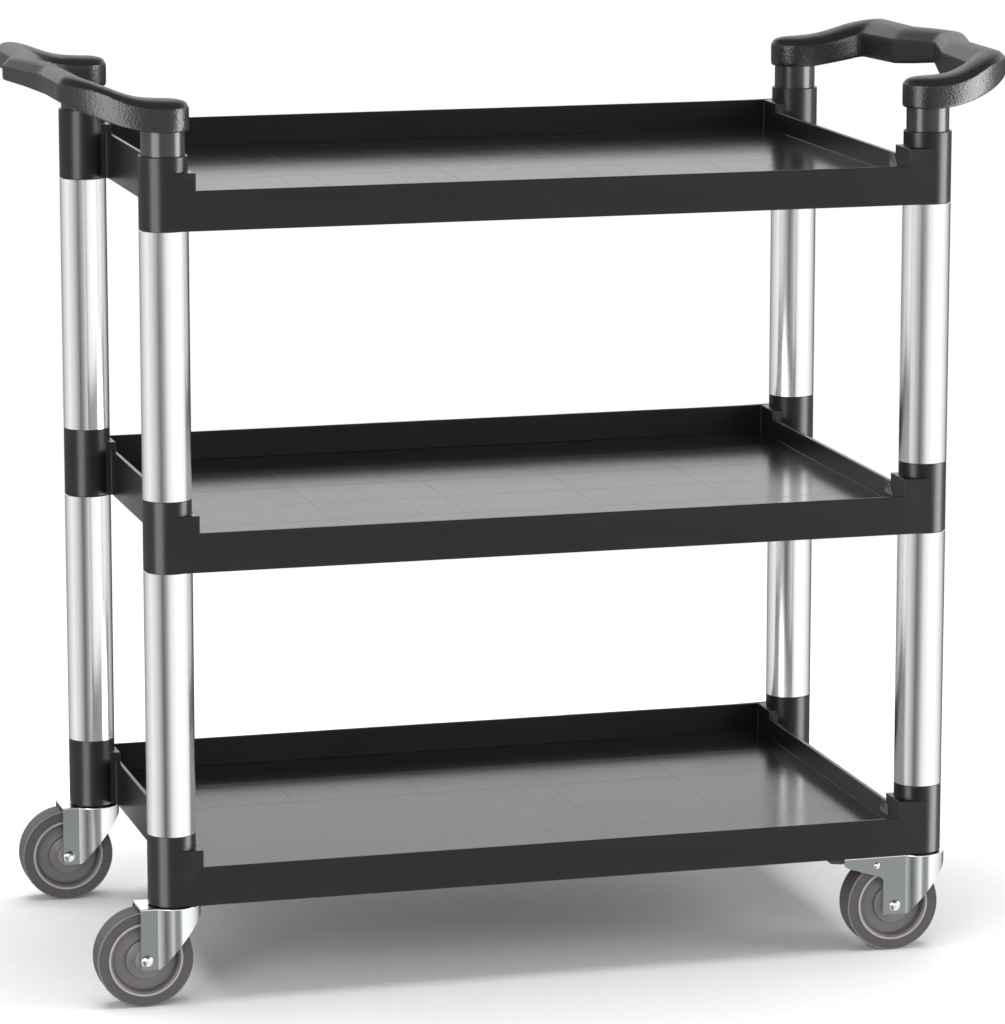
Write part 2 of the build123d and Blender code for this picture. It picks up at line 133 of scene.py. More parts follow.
distance = add(tree, "ShaderNodeVectorMath")
distance.operation = "LENGTH"
join(tree, place.outputs["Object"], distance.inputs[0])
fade_start, fade_end = 0.9, floor_radius * 0.96
fade = ranged(tree, distance.outputs["Value"], fade_start, fade_end, 1.0, 0.0, smooth=True)
join(tree, fade, shader.inputs["Alpha"])
floor_mesh.materials.append(floor_finish)
floor.visible_glossy = False
floor.visible_shadow = False
floor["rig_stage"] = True


# Studio surround: white round the horizon under a dim ceiling, with a dim cloth low down behind.
# Soft grey and white bands stand round the trolley below eye level, and the posts mirror them.
def sum_of(tree, first, second, operation="ADD"):
    """One step of arithmetic on two values; either may be a plain number."""
    node = tree.nodes.new("ShaderNodeMath")
    node.operation = operation
    for count, value in enumerate((first, second)):
        if isinstance(value, (int, float)):
            node.inputs[count].default_value = value
        else:
            join(tree, value, node.inputs[count])
    return node.outputs[0]


def mixed(tree, share, first, second):
    """Colour that goes from the first to the second; either may be a plain colour."""
    node = tree.nodes.new("ShaderNodeMix")
    node.data_type = "RGBA"
    join(tree, share, node.inputs[0])
    for count, colour in ((6, first), (7, second)):
        if isinstance(colour, tuple):
            node.inputs[count].default_value = (*colour, 1)
        else:
            join(tree, colour, node.inputs[count])
    return node.outputs[2]


world = bpy.data.worlds.new("studio")
bpy.context.scene.world = world
world.use_nodes = True
tree = world.node_tree
surround = tree.nodes["Background"]
direction = add(tree, "ShaderNodeTexCoord")
parts = add(tree, "ShaderNodeSeparateXYZ")
join(tree, direction.outputs["Generated"], parts.inputs["Vector"])
bearing = add(tree, "ShaderNodeMath")
bearing.operation = "ARCTAN2"
join(tree, parts.outputs["X"], bearing.inputs[0])
join(tree, parts.outputs["Y"], bearing.inputs[1])
turn = ranged(tree, bearing.outputs["Value"], -math.pi, math.pi)
bands = add(tree, "ShaderNodeValToRGB")
bands.color_ramp.interpolation = "EASE"
# bearing in degrees clockwise from +Y as seen from above, brightness
band_list = (
    (-180, 0.95), (-168, 0.60), (-159, 0.28), (-142, 0.07), (-127, 0.42), (-108, 0.74), (-80, 1.0),
    (-55, 0.78), (-25, 0.45), (-6, 0.25), (12, 0.05), (20, 0.03), (40, 0.04), (57, 0.30), (75, 0.68),
    (94, 0.96), (117, 1.16), (137, 1.26), (157, 1.16), (174, 0.98), (180, 0.95),
)
ramp = bands.color_ramp
while len(ramp.elements) > 1:
    ramp.elements.remove(ramp.elements[-1])
for count, (degrees, bright) in enumerate(band_list):
    position = (degrees + 180) / 360
    stop = ramp.elements[0] if count == 0 else ramp.elements.new(position)
    stop.position = position
    stop.color = (bright, bright, bright * 1.01, 1)
join(tree, turn, bands.inputs["Fac"])
sky_white, cloth_grey, ceiling_grey = (1.45, 1.45, 1.46), (0.10, 0.10, 0.105), (0.16, 0.16, 0.165)
height = parts.outputs["Z"]
horizon = ranged(tree, height, -0.06, 0.04, smooth=True)
walls = mixed(tree, horizon, bands.outputs["Color"], sky_white)
under_ceiling = mixed(tree, ranged(tree, height, 0.30, 0.62, smooth=True), walls, ceiling_grey)
above_cloth = ranged(tree, height, 0.098, 0.112, smooth=True)
behind = ranged(tree, parts.outputs["Y"], 0.2, 0.6, smooth=True)
cloth = sum_of(tree, 1.0, above_cloth, "SUBTRACT")
cloth = sum_of(tree, cloth, sum_of(tree, height, 0.0, "GREATER_THAN"), "MULTIPLY")
cloth = sum_of(tree, cloth, behind, "MULTIPLY")
room = mixed(tree, cloth, under_ceiling, cloth_grey)
seen = add(tree, "ShaderNodeLightPath")
backdrop = mixed(tree, seen.outputs["Is Camera Ray"], room, (1.0, 1.0, 1.0))
join(tree, backdrop, surround.inputs["Color"])
surround.inputs["Strength"].default_value = 1.0


# Soft lights: a wide one overhead, which only lights and is not mirrored, one beside the camera
# and one to the right.
def soft_light(name, place, target, width, height, watts):
    data = bpy.data.lights.new(name, "AREA")
    data.shape = "RECTANGLE"
    data.size = width
    data.size_y = height
    data.energy = watts
    lamp = bpy.data.objects.new(name, data)
    bpy.context.scene.collection.objects.link(lamp)
    lamp.location = place
    lamp.rotation_euler = (Vector(target) - Vector(place)).to_track_quat("-Z", "Y").to_euler()
    return lamp


overhead = soft_light("overhead_light", (0.0, 0.2, 3.4), (0, 0, 0.5), 3.4, 3.0, 150)
overhead.visible_glossy = False
soft_light("front_light", (-2.6, -3.6, 2.2), (0, 0, 0.5), 1.8, 1.8, 55)
soft_light("right_light", (3.4, -1.6, 1.8), (0, 0, 0.5), 1.4, 2.0, 35)


# Shelves: three injection-moulded trays in black polypropylene, glossy on the deck and satin on
# the skirts, each in one piece with its four collars. The ribs below show as faint lines.
def effect(name, inputs, outputs):
    """A shared effect: a node group that takes its own values in each finish."""
    group = bpy.data.node_groups.new(name, "ShaderNodeTree")
    for label, kind, value in inputs:
        socket = group.interface.new_socket(label, in_out="INPUT", socket_type=kind)
        if value is not None:
            socket.default_value = value
    for label, kind in outputs:
        group.interface.new_socket(label, in_out="OUTPUT", socket_type=kind)
    return group, group.nodes.new("NodeGroupInput"), group.nodes.new("NodeGroupOutput")


def use(tree, group, **sockets):
    node = tree.nodes.new("ShaderNodeGroup")
    node.node_tree = group
    for name, value in sockets.items():
        node.inputs[name.replace("_", " ")].default_value = value
    return node


# Moulded grain: fine pebbled texture of a spark-eroded mould, as a height from 0 to 1.
grain, inside, outside = effect(
    "moulded_grain",
    [("Size", "NodeSocketFloat", 0.001)],
    [("Height", "NodeSocketFloat")],
)
place = add(grain, "ShaderNodeTexCoord")
density = sum_of(grain, 1.0, inside.outputs["Size"], "DIVIDE")
pebble = add(grain, "ShaderNodeTexVoronoi")
pebble.feature = "SMOOTH_F1"
pebble.inputs["Smoothness"].default_value = 0.6
soft = add(grain, "ShaderNodeTexNoise", Detail=3.0, Roughness=0.6)
join(grain, place.outputs["Object"], pebble.inputs["Vector"])
join(grain, place.outputs["Object"], soft.inputs["Vector"])
join(grain, density, pebble.inputs["Scale"])
join(grain, sum_of(grain, density, 1.7, "MULTIPLY"), soft.inputs["Scale"])
softer = sum_of(grain, soft.outputs["Fac"], 0.8, "MULTIPLY")
pebbled = sum_of(grain, pebble.outputs["Distance"], softer)
join(grain, sum_of(grain, pebbled, 0.6, "MULTIPLY"), outside.inputs["Height"])

# Rubbed patches: broad clouds of polish and dulling, with fine scratches among them, from 0 to 1.
rubbed, inside, outside = effect(
    "rubbed_patches",
    [("Scale", "NodeSocketFloat", 6.0), ("Scratches", "NodeSocketFloat", 0.3)],
    [("Mask", "NodeSocketFloat"), ("Scratch", "NodeSocketFloat")],
)
place = add(rubbed, "ShaderNodeTexCoord")
clouds = add(rubbed, "ShaderNodeTexNoise", Detail=5.0, Roughness=0.55, Distortion=0.3)
join(rubbed, place.outputs["Object"], clouds.inputs["Vector"])
join(rubbed, inside.outputs["Scale"], clouds.inputs["Scale"])
streaks = None
for angle, squeeze in ((0.5, 60.0), (-0.9, 80.0), (1.9, 70.0)):
    slanted = add(rubbed, "ShaderNodeMapping")
    slanted.inputs["Rotation"].default_value = (angle * 0.4, angle * 0.7, angle)
    slanted.inputs["Scale"].default_value = (squeeze, 2.5, squeeze)
    join(rubbed, place.outputs["Object"], slanted.inputs["Vector"])
    lines = add(rubbed, "ShaderNodeTexNoise", Scale=4.0, Detail=2.0)
    join(rubbed, slanted.outputs["Vector"], lines.inputs["Vector"])
    sharp = ranged(rubbed, lines.outputs["Fac"], 0.68, 0.74)
    streaks = sharp if streaks is None else sum_of(rubbed, streaks, sharp, "MAXIMUM")
scratch = sum_of(rubbed, streaks, inside.outputs["Scratches"], "MULTIPLY")
join(rubbed, clouds.outputs["Fac"], outside.inputs["Mask"])
join(rubbed, scratch, outside.inputs["Scratch"])

# Edge wear: a mask along worn outer edges, broken up by noise. On the wheels its light tint is also
# painted highlight.
edge_wear_and_highlight, inside, outside = effect(
    "edge_wear_and_highlight",
    [("Amount", "NodeSocketFloat", 1.0)],
    [("Mask", "NodeSocketFloat")],
)
shape = add(edge_wear_and_highlight, "ShaderNodeNewGeometry")
edges = ranged(edge_wear_and_highlight, shape.outputs["Pointiness"], 0.52, 0.62)
place = add(edge_wear_and_highlight, "ShaderNodeTexCoord")
breaks = add(edge_wear_and_highlight, "ShaderNodeTexNoise", Scale=45.0, Detail=4.0)
join(edge_wear_and_highlight, place.outputs["Object"], breaks.inputs["Vector"])
worn_and_painted_edges = sum_of(edge_wear_and_highlight, edges, breaks.outputs["Fac"], "MULTIPLY")
join(edge_wear_and_highlight, sum_of(edge_wear_and_highlight, worn_and_painted_edges, inside.outputs["Amount"], "MULTIPLY"), outside.inputs["Mask"])

# Settled dust: more on faces that look up, in soft patches.
dust, inside, outside = effect(
    "settled_dust",
    [("Amount", "NodeSocketFloat", 0.1)],
    [("Mask", "NodeSocketFloat")],
)
shape = add(dust, "ShaderNodeNewGeometry")
axes = add(dust, "ShaderNodeSeparateXYZ")
join(dust, shape.outputs["True Normal"], axes.inputs["Vector"])
upward = ranged(dust, axes.outputs["Z"], 0.3, 1.0)
place = add(dust, "ShaderNodeTexCoord")
patches = add(dust, "ShaderNodeTexNoise", Scale=14.0, Detail=6.0, Roughness=0.65)
join(dust, place.outputs["Object"], patches.inputs["Vector"])
laid = sum_of(dust, upward, patches.outputs["Fac"], "MULTIPLY")
join(dust, sum_of(dust, laid, inside.outputs["Amount"], "MULTIPLY"), outside.inputs["Mask"])


def finish_of(name, base, second, roughness, spread, bump=0.0, grain_size=0.001, metallic=0.0,
              scratches=0.3, patch_scale=6.0, edge=(0.1, (0.3, 0.3, 0.3)), dust_amount=0.05,
              coat=0.0, bump_distance=0.0004, specular=0.5):
    """A surface with two near tones, uneven gloss, fine grain, a light edge tint and a little dust;
    the edge tint is wear, and on the wheels painted highlight too.
    """
    made = bpy.data.materials.new(name)
    made.use_nodes = True
    tree = made.node_tree
    shader = tree.nodes["Principled BSDF"]
    shader.inputs["Metallic"].default_value = metallic
    shader.inputs["Specular IOR Level"].default_value = specular
    shader.inputs["Coat Weight"].default_value = coat
    shader.inputs["Coat Roughness"].default_value = 0.12
    patches = use(tree, rubbed, Scale=patch_scale, Scratches=scratches)
    tones = mixed(tree, patches.outputs["Mask"], base, second)
    worn_and_painted_edges = use(tree, edge_wear_and_highlight, Amount=edge[0])
    edged = mixed(tree, worn_and_painted_edges.outputs["Mask"], tones, edge[1])
    laid = use(tree, dust, Amount=dust_amount)
    dusty = mixed(tree, laid.outputs["Mask"], edged, (0.42, 0.40, 0.37))
    join(tree, dusty, shader.inputs["Base Color"])
    gloss = ranged(tree, patches.outputs["Mask"], 0.0, 1.0, roughness - spread, roughness + spread)
    rough = sum_of(tree, gloss, patches.outputs["Scratch"])
    rough = sum_of(tree, rough, laid.outputs["Mask"])
    join(tree, rough, shader.inputs["Roughness"])
    if bump:
        pebbles = use(tree, grain, Size=grain_size)
        relief = add(tree, "ShaderNodeBump", Strength=bump, Distance=bump_distance)
        join(tree, pebbles.outputs["Height"], relief.inputs["Height"])
        join(tree, relief.outputs["Normal"], shader.inputs["Normal"])
    return made


def show(name, mesh, body, material, slot, *stands_for):
    """Put a finished mesh on its body, with its finish, in place of the CAD nodes it stands for."""
    piece = bpy.data.objects.new(name, mesh)
    bpy.context.scene.collection.objects.link(piece)
    mesh.materials.clear()
    mesh.materials.append(material)
    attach(piece, body)
    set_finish(piece, slot)
    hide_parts(*stands_for)
    return piece


def softened(node_name, radius, cuts_x=(), cuts_y=(), segments=2, angle=30):
    """A new mesh after a CAD piece: flat faces joined up, sharp edges rounded, even shading.

    The cuts split flat faces that run round a hole, so that each is one simple outline."""
    made = bmesh.new()
    made.from_mesh(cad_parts[node_name].data)
    bmesh.ops.remove_doubles(made, verts=made.verts, dist=1e-6)
    planes = [(Vector((x, 0, 0)), Vector((1, 0, 0))) for x in cuts_x]
    planes += [(Vector((0, y, 0)), Vector((0, 1, 0))) for y in cuts_y]
    for point, normal in planes:
        everything = [*made.verts, *made.edges, *made.faces]
        bmesh.ops.bisect_plane(made, geom=everything, dist=1e-6, plane_co=point, plane_no=normal)

    def on_cut(*verts):
        return any(all(abs((v.co - p).dot(n)) < 2e-6 for v in verts) for p, n in planes)

    bmesh.ops.dissolve_limit(
        made, angle_limit=math.radians(0.6), verts=[v for v in made.verts if not on_cut(v)],
        edges=[e for e in made.edges if not on_cut(*e.verts)],
    )
    limit = math.radians(angle)
    sharp = [e for e in made.edges if len(e.link_faces) == 2 and e.calc_face_angle() > limit]
    bmesh.ops.bevel(
        made, geom=sharp, offset=radius, segments=segments, profile=0.5, affect="EDGES",
        clamp_overlap=False,
    )
    bmesh.ops.remove_doubles(made, verts=made.verts, dist=1e-6)
    for face in made.faces:
        face.smooth = True
    mesh = bpy.data.meshes.new(node_name + "_shape")
    made.to_mesh(mesh)
    made.free()
    mesh.set_sharp_from_angle(angle=math.radians(50))
    return mesh


def evenly_shaded(piece):
    """Let the big flat faces lead the shading, so that only the rounded edges turn the light."""
    weighting = piece.modifiers.new("shading", "WEIGHTED_NORMAL")
    weighting.keep_sharp = True
    weighting.weight = 100
    return piece


shelf_plastic = finish_of(
    "shelf_plastic", (0.0028, 0.0028, 0.0032), (0.0040, 0.0040, 0.0043), 0.30, 0.03, bump=0.05,
    grain_size=0.0011, scratches=0.04, dust_amount=0.005, edge=(0.25, (0.06, 0.06, 0.06)),
    specular=0.17,
)
tree = shelf_plastic.node_tree
shader = tree.nodes["Principled BSDF"]
shape = add(tree, "ShaderNodeNewGeometry")
facing = add(tree, "ShaderNodeSeparateXYZ")
join(tree, shape.outputs["True Normal"], facing.inputs["Vector"])
deck = ranged(tree, facing.outputs["Z"], 0.95, 0.99)
place = add(tree, "ShaderNodeTexCoord")
axes = add(tree, "ShaderNodeSeparateXYZ")
join(tree, place.outputs["Object"], axes.inputs["Vector"])
rib_half_width = 0.0016
rib_mark = None
for axis, half_pitch in (("X", 0.0718), ("Y", 0.0475)):
    wave = sum_of(tree, axes.outputs[axis], half_pitch, "PINGPONG")
    mark = ranged(tree, wave, half_pitch - rib_half_width, half_pitch, smooth=True)
    rib_mark = mark if rib_mark is None else sum_of(tree, rib_mark, mark, "MAXIMUM")
rib_mark = sum_of(tree, rib_mark, deck, "MULTIPLY")
gloss_now = shader.inputs["Roughness"].links[0].from_socket
polish = sum_of(tree, deck, -0.14, "MULTIPLY")
marks = sum_of(tree, rib_mark, 0.05, "MULTIPLY")
join(tree, sum_of(tree, sum_of(tree, gloss_now, polish), marks), shader.inputs["Roughness"])
sink = add(tree, "ShaderNodeBump", Strength=0.10, Distance=0.0005)
sink.invert = True
join(tree, rib_mark, sink.inputs["Height"])
join(tree, shader.inputs["Normal"].links[0].from_socket, sink.inputs["Normal"])
join(tree, sink.outputs["Normal"], shader.inputs["Normal"])
post_x, post_y, edge_radius = 0.4038, 0.2157, 0.0009
cuts_x = (-post_x, -0.2872, -0.1436, 0, 0.1436, 0.2872, post_x)
cuts_y = (-post_y, -0.18, 0.18, post_y)
for level in ("bottom", "middle", "top"):
    shape = softened(f"{level}_shelf", edge_radius, cuts_x, cuts_y)
    evenly_shaded(show(f"{level}_shelf_moulding", shape, "cart", shelf_plastic, "shelf_plastic",
                       f"{level}_shelf"))


# Post tubes: eight lengths of satin anodised aluminium tube, 50 mm across, pushed over the
# shelves' spigots. The drawing grain runs along the tube; the sawn ends are lightly broken.
def turned(profile, centre, axis="Z", segments=96, closed=False):
    """Mesh of a turned piece: (radius, distance along the axis) points swept round the centre."""
    made = bmesh.new()
    rings = []
    for radius, along in profile:
        ring = []
        steps = 1 if radius < 1e-7 else segments
        for step in range(steps):
            angle = math.tau * step / segments
            across, up = radius * math.cos(angle), radius * math.sin(angle)
            local = (across, up, along) if axis == "Z" else (across, along, up)
            ring.append(made.verts.new(Vector(centre) + Vector(local)))
        rings.append(ring)
    pairs = list(zip(rings, rings[1:]))
    if closed:
        pairs.append((rings[-1], rings[0]))
    for first, second in pairs:
        for step in range(segments):
            following = (step + 1) % segments
            corners = [first[step % len(first)], first[following % len(first)],
                       second[following % len(second)], second[step % len(second)]]
            made.faces.new(list(dict.fromkeys(corners)))
    bmesh.ops.recalc_face_normals(made, faces=made.faces)
    return made


def finished(made, name, sharp_angle=35):
    """Turn the shape into a smooth-shaded mesh that keeps its sharp edges."""
    for face in made.faces:
        face.smooth = True
    mesh = bpy.data.meshes.new(name)
    made.to_mesh(mesh)
    made.free()
    mesh.set_sharp_from_angle(angle=math.radians(sharp_angle))
    return mesh


# Drawn grain: fine lines along the piece, as a height from 0 to 1.
drawn, inside, outside = effect(
    "drawn_grain",
    [("Along", "NodeSocketVector", (900.0, 900.0, 6.0))],
    [("Height", "NodeSocketFloat")],
)
place = add(drawn, "ShaderNodeTexCoord")
stretched = add(drawn, "ShaderNodeVectorMath")
stretched.operation = "MULTIPLY"
join(drawn, place.outputs["Object"], stretched.inputs[0])
join(drawn, inside.outputs["Along"], stretched.inputs[1])
lines = add(drawn, "ShaderNodeTexNoise", Scale=1.0, Detail=3.0, Roughness=0.7)
join(drawn, stretched.outputs["Vector"], lines.inputs["Vector"])
join(drawn, lines.outputs["Fac"], outside.inputs["Height"])


def metal_of(name, base, second, roughness, spread, along, grain_depth, scratches=0.2,
             dust_amount=0.02, edge=(0.4, (0.8, 0.8, 0.8))):
    """A metal finish whose gloss and relief follow a directional grain."""
    made = finish_of(
        name, base, second, roughness, spread, metallic=1.0, scratches=scratches,
        dust_amount=dust_amount, edge=edge, patch_scale=9.0,
    )
    tree = made.node_tree
    shader = tree.nodes["Principled BSDF"]
    fibres = use(tree, drawn, Along=along)
    relief = add(tree, "ShaderNodeBump", Strength=grain_depth, Distance=0.0002)
    join(tree, fibres.outputs["Height"], relief.inputs["Height"])
    join(tree, relief.outputs["Normal"], shader.inputs["Normal"])
    lines = ranged(tree, fibres.outputs["Height"], 0.0, 1.0, -0.06, 0.06)
    before = shader.inputs["Roughness"].links[0].from_socket
    join(tree, sum_of(tree, before, lines), shader.inputs["Roughness"])
    return made


post_aluminium = metal_of(
    "post_aluminium", (0.84, 0.84, 0.845), (0.88, 0.88, 0.885), 0.20, 0.02, (900.0, 900.0, 3.0), 0.05,
    scratches=0.0, dust_amount=0.004, edge=(0.1, (0.9, 0.9, 0.9)),
)
corners = ("left_front", "left_rear", "right_front", "right_rear")


def show_tube(name, node, wall, material, slot):
    """A length of tube in the place of a CAD node, its outer edges lightly broken."""
    low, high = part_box(node)
    outer, half = (high.x - low.x) / 2, (high.z - low.z) / 2
    inner, edge_break = outer - wall, 0.0004
    profile = (
        (inner, -half), (outer - edge_break, -half), (outer, edge_break - half),
        (outer, half - edge_break), (outer - edge_break, half), (inner, half),
    )
    shape = turned(profile, (low + high) / 2, closed=True)
    show(name, finished(shape, node), "cart", material, slot, node)


for corner in corners:
    for level in ("lower", "upper"):
        show_tube(f"{level}_post_{corner}", f"{level}_tube_{corner}", 0.002, post_aluminium,
                  "post_aluminium")


# Handle tubes: short steel tubes stoved gloss black, set into the top collars. The handles' caps
# push down over them, so only a narrow ring of each shows.
stub_tube = finish_of(
    "stub_tube", (0.004, 0.004, 0.0045), (0.006, 0.006, 0.0065), 0.25, 0.03, bump=0.04,
    grain_size=0.0025, scratches=0.05, dust_amount=0.01, specular=0.25,
)
for corner in corners:
    show_tube(f"stub_{corner}", f"handle_tube_{corner}", 0.0022, stub_tube, "stub_tube")


# Handles: one moulding at each end, hard black plastic. Two caps on the tubes, arms that rise and
# swing in, straight shoulders and a shallow V to grip. Spark-grained walls, a smoother crown.
handle_plastic = finish_of(
    "handle_plastic", (0.0050, 0.0050, 0.0054), (0.0070, 0.0070, 0.0075), 0.27, 0.04, bump=0.7,
    grain_size=0.0022, scratches=0.05, dust_amount=0.005, edge=(0.2, (0.10, 0.10, 0.10)),
    specular=0.25, bump_distance=0.0006,
)
tree = handle_plastic.node_tree
shader = tree.nodes["Principled BSDF"]
shape = add(tree, "ShaderNodeNewGeometry")
facing = add(tree, "ShaderNodeSeparateXYZ")
join(tree, shape.outputs["Normal"], facing.inputs["Vector"])
crown = ranged(tree, facing.outputs["Z"], 0.5, 0.95, 0.0, 0.06)
gloss_now = shader.inputs["Roughness"].links[0].from_socket
join(tree, sum_of(tree, gloss_now, crown), shader.inputs["Roughness"])
cap_radius, arm_start, swing = 0.0269, 0.0056, 0.102
# corners of the outline seen from above: distance outward from the posts' line, then from the
# middle of the grip; outer wall first
shoulder_inner = (0.0608, 0.1677)
knees = ((0.0998, 0.0813), (0.0655, 0.0740))
peaks = ((0.123, 0), (0.0847, 0))
shoulder_round, knee_round = 0.007, 0.006


def corner_curve(before, corner, after, reach, steps):
    """Points that round one corner of an outline, starting and ending reach away from it."""
    start = corner + (before - corner).normalized() * reach
    end = corner + (after - corner).normalized() * reach
    points = []
    for step in range(steps + 1):
        t = step / steps
        points.append(start * (1 - t) ** 2 + corner * (2 * t * (1 - t)) + end * t ** 2)
    return points


def edge_points(start, end, steps):
    """Points along a straight run, both ends left out."""
    return [start.lerp(end, step / steps) for step in range(1, steps)]


def height_at(levels, x):
    """Height in metres at x, from a line through (x, height) pairs in millimetres."""
    x = x * 1000
    if x <= levels[0][0]:
        return levels[0][1] / 1000
    for (x0, z0), (x1, z1) in zip(levels, levels[1:]):
        if x <= x1:
            t = (x - x0) / (x1 - x0)
            return (z0 + (z1 - z0) * t) / 1000
    return levels[-1][1] / 1000


# heights along the handle in millimetres, by the distance from the middle of the trolley
underside = ((416, 897.5), (429, 899.8), (441, 902.4), (453, 905.5), (466, 910), (478, 914), (490, 919.3),
             (504, 925.5), (516, 928), (524, 929))
wall_top = ((417, 923), (429, 925.2), (441, 927.6), (448, 930.4), (458, 934.6), (466, 938.6),
            (474, 941.4), (484, 943), (501, 944.5), (527, 946))
crest = ((404, 930), (427, 931.4), (441, 935), (452, 939.4), (460, 942.6), (470, 946.4), (480, 949.6),
         (492, 952), (504, 953.2), (527, 953.5))


def handle_outline():
    """Matched outer and inner points of one half, from the cap's tip to the middle of the grip."""
    outer, inner = [], []
    cap = Vector((post_x, post_y))
    for step in range(9):
        angle = math.pi / 2 * step / 8
        reach = Vector((-math.cos(angle), math.sin(angle))) * cap_radius
        outer.append(cap + reach)
        inner.append(cap + Vector((reach.x, -reach.y)))
    pivot = Vector((post_x + arm_start, post_y + cap_radius - swing))
    shoulder_in = Vector((post_x + shoulder_inner[0], shoulder_inner[1]))
    arm_in = Vector((post_x + arm_start, post_y - cap_radius))
    # inner arc: leaves the cap along X and passes through the inner shoulder
    rise = arm_in.y - shoulder_in.y
    run = shoulder_in.x - arm_in.x
    inner_swing = (rise * rise + run * run) / (2 * rise)
    inner_sweep = math.atan2(run, inner_swing - rise)
    outer_sweep = math.radians(66)
    for step in range(8):
        t = step / 8
        angle = outer_sweep * t
        outer.append(pivot + Vector((math.sin(angle), math.cos(angle))) * swing)
        angle = inner_sweep * t
        inner.append(arm_in + Vector((math.sin(angle), math.cos(angle) - 1)) * inner_swing)
    shoulder_out = pivot + Vector((math.sin(outer_sweep), math.cos(outer_sweep))) * swing
    knee_out, knee_in = (Vector((post_x + out, along)) for out, along in knees)
    peak_out, peak_in = (Vector((post_x + out, along)) for out, along in peaks)
    sides = (
        (outer, shoulder_out, knee_out, peak_out),
        (inner, shoulder_in, knee_in, peak_in),
    )
    for points, shoulder, knee, peak in sides:
        first = corner_curve(points[-1], shoulder, knee, shoulder_round, 5)
        second = corner_curve(shoulder, knee, peak, knee_round, 5)
        below = Vector((knee.x, -knee.y))
        third = corner_curve(knee, peak, below, knee_round, 6)[:4]
        points += first + edge_points(first[-1], second[0], 7)
        points += second + edge_points(second[-1], third[0], 7) + third
    return outer, inner


def outward(points, others):
    """Unit normals of an outline that point away from the other outline."""
    normals = []
    for count, point in enumerate(points):
        before = points[max(count - 1, 0)]
        after = points[min(count + 1, len(points) - 1)]
        along = (after - before).normalized()
        normal = Vector((along.y, -along.x))
        if normal.dot(point - others[count]) < 0:
            normal = -normal
        normals.append(normal)
    normals[0] = Vector((-1, 0))
    normals[-1] = Vector((1 if points[-1].x > others[-1].x else -1, 0))
    return normals


# across the top: share of the way from rim to rim, share of the crest's height
crown_line = ((0.07, 0.42), (0.16, 0.70), (0.30, 0.90), (0.5, 1.0), (0.70, 0.90), (0.84, 0.70),
              (0.93, 0.42))
# up a wall: how far in from the outline, which level, how far above it
wall_line = ((0.0026, "floor", 0), (0.0008, "floor", 0.0007), (0, "floor", 0.0028), (0, "middle", 0),
             (0, "wall", -0.0030), (0.0006, "wall", -0.0008), (0.0020, "wall", 0.0004))


def handle_mesh(side, name):
    """One handle: closed cross sections along each half of the outline, joined up."""
    outer, inner = handle_outline()
    outer_normals, inner_normals = outward(outer, inner), outward(inner, outer)
    columns = []
    for count, (out, into) in enumerate(zip(outer, inner)):
        out_normal, in_normal = outer_normals[count], inner_normals[count]
        cap_share = math.sin(math.pi / 2 * count / 8) ** 0.8 if count < 8 else 1.0
        rims = []
        for point, normal in ((out, out_normal), (into, in_normal)):
            floor_z = height_at(underside, point.x)
            wall_z = height_at(wall_top, point.x)
            levels = {"floor": floor_z, "middle": (floor_z + wall_z) / 2, "wall": wall_z}
            rims.append([
                Vector((*(point - normal * inset), levels[key] + lift))
                for inset, key, lift in wall_line
            ])
        column = list(rims[0])
        rim_out, rim_in = rims[0][-1], rims[1][-1]
        for across, share in crown_line:
            spot = rim_out.lerp(rim_in, across)
            top = height_at(crest, spot.x)
            spot.z += (top - spot.z) * share * cap_share
            column.append(spot)
        column += reversed(rims[1])
        for across in (0.75, 0.5, 0.25):
            column.append(rims[0][0].lerp(rims[1][0], across))
        columns.append(column)
    made = bmesh.new()
    for mirror in (1, -1):
        grid = [[made.verts.new((side * v.x, mirror * v.y, v.z)) for v in column] for column in columns]
        for first, second in zip(grid, grid[1:]):
            for count in range(len(first)):
                following = (count + 1) % len(first)
                made.faces.new((first[count], first[following], second[following], second[count]))
    bmesh.ops.remove_doubles(made, verts=made.verts, dist=1e-6)
    bmesh.ops.dissolve_degenerate(made, edges=made.edges, dist=1e-7)
    bmesh.ops.recalc_face_normals(made, faces=made.faces)
    return finished(made, name, 60)


for name, side in (("left_handle", -1), ("right_handle", 1)):
    piece = show(f"{name}_moulding", handle_mesh(side, name + "_shape"), "cart", handle_plastic,
                 "handle_plastic", name)
    smooth = piece.modifiers.new("rounding", "SUBSURF")
    smooth.levels = 2
    smooth.render_levels = 2


# Casters, forks: pressed steel, bright zinc plated, bent round a nose in front of the wheel. The
# two on the braked end carry their legs back as arms for the brake.
fork_steel = metal_of(
    "fork_steel", (0.78, 0.80, 0.81), (0.84, 0.85, 0.85), 0.21, 0.03, (160.0, 160.0, 160.0), 0.03,
    scratches=0.04, dust_amount=0.01, edge=(0.2, (0.8, 0.8, 0.8)),
)
tree = fork_steel.node_tree
shader = tree.nodes["Principled BSDF"]
